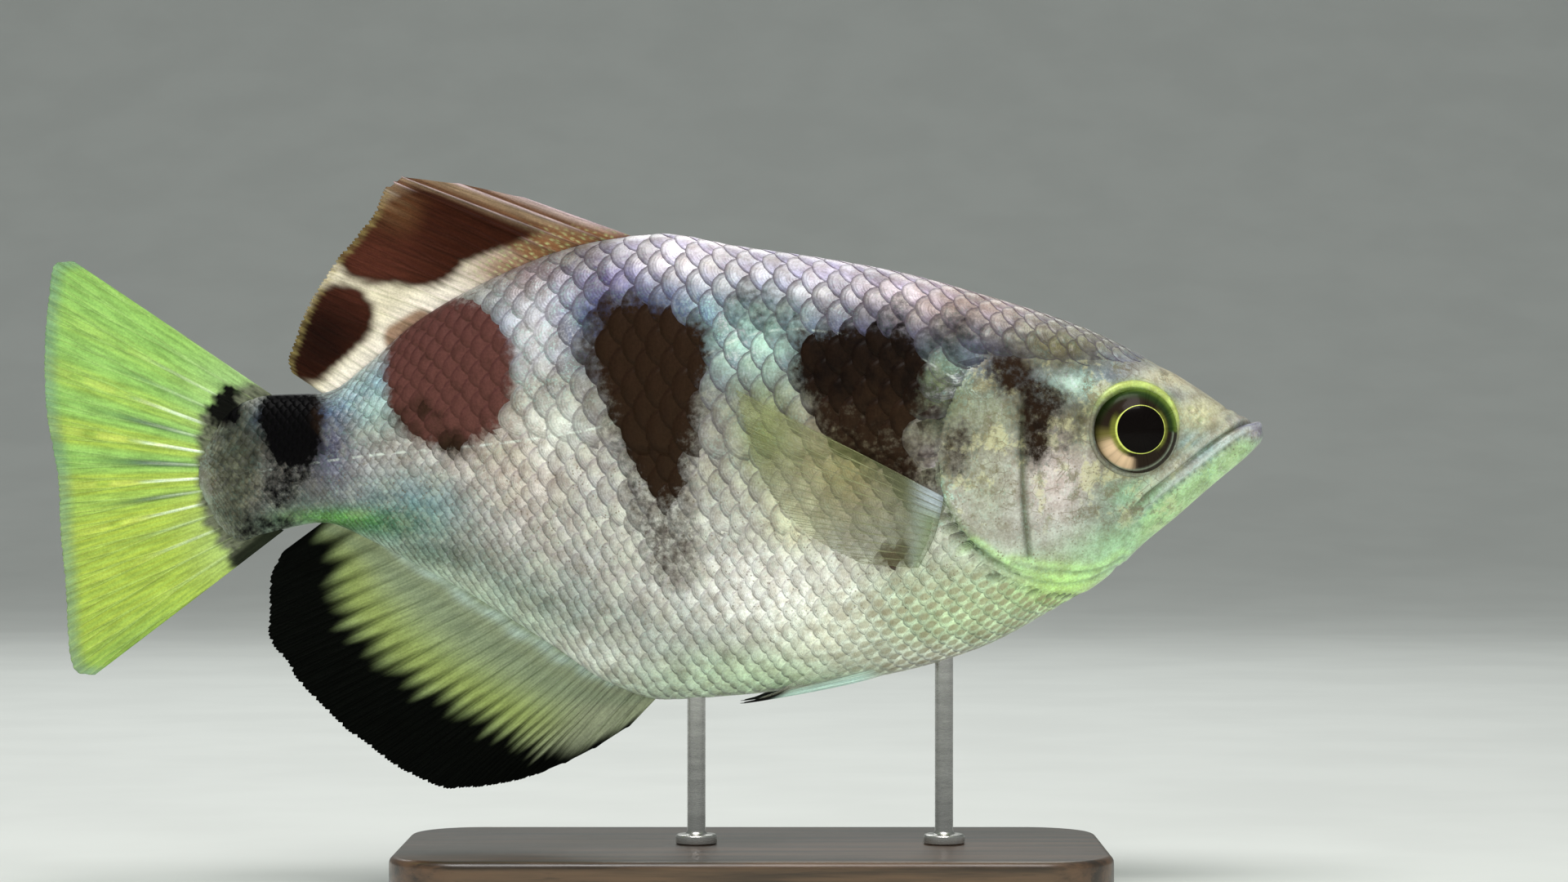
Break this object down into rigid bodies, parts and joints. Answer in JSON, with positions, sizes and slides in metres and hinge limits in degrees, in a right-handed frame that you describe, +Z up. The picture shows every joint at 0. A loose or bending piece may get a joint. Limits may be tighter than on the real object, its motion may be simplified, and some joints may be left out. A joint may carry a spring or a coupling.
{
  "type": "banded archerfish model on a stand",
  "caption": "Life-size banded archerfish: deep flattened body, pointed upturned mouth, large eyes, far-back dorsal and anal fins and fan-shaped tail, level on a plain stand.",
  "frame": {"origin": "on the underside of the stand's base, below the middle of the fish's length from snout to tail tip", "axes": "+X towards the snout, -Y towards the fish's right flank, +Z up"},
  "size_m": [0.1976, 0.058, 0.1178],
  "materials": {
    "skin": "silvery scaled skin with dark blotches, satin",
    "eye": "black pupil in a gold ring, wet gloss",
    "dark_fin": "dark red-brown membrane with cream bands and tan spines, satin",
    "anal_fin": "black margin over a yellow-green inner half, satin",
    "tail_fin": "yellow-green membrane with fine pale rays, satin",
    "clear_fin": "thin pale membrane with fine rays, satin",
    "base": "dark stained wood, satin",
    "rod": "brushed steel"
  },
  "bodies": {
    "root": {"head": "skin", "lower_jaw": "skin", "gill_cover_r": "skin", "gill_cover_l": "skin", "torso": "skin", "tail_stalk": "skin", "eye_r": "eye", "eye_l": "eye", "dorsal_fin": "dark_fin", "anal_fin": "anal_fin", "caudal_fin": "tail_fin", "pectoral_fin_r": "clear_fin", "pectoral_fin_l": "clear_fin", "pelvic_fin_r": "clear_fin", "pelvic_fin_l": "clear_fin", "stand_base": "base", "stand_rod_front": "rod", "stand_rod_rear": "rod"}
  },
  "joints": []
}
